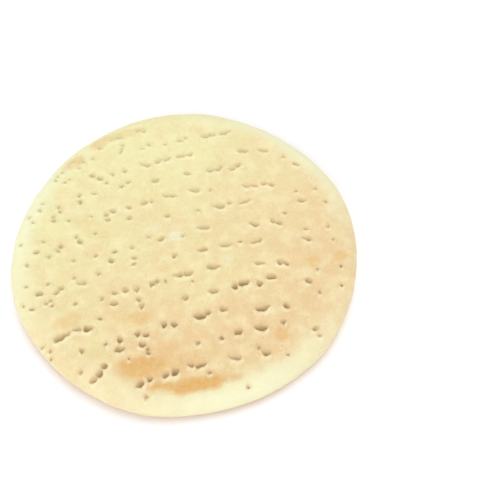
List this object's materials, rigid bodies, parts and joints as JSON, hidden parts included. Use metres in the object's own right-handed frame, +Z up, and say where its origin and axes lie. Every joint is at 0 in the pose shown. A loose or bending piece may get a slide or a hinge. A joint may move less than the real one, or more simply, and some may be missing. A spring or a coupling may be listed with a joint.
{
  "type": "pizza base",
  "caption": "Round par-baked pizza base: a thin bread disc with a rounded rim, a flat browned underside and a docked, floury top, ready for topping",
  "frame": {"origin": "middle of the flat underside, on the surface that the base rests on", "axes": "+Z up through the thickness, +X along the rows of docking marks, +Y the way the docking roller travelled"},
  "size_m": [0.2306, 0.2308, 0.014],
  "materials": {
    "baked_dough": "matt baked bread dough, pale cream, lightly toasted in patches on top and golden brown underneath"
  },
  "bodies": {
    "root": {"pizza_base": "baked_dough"}
  },
  "joints": []
}
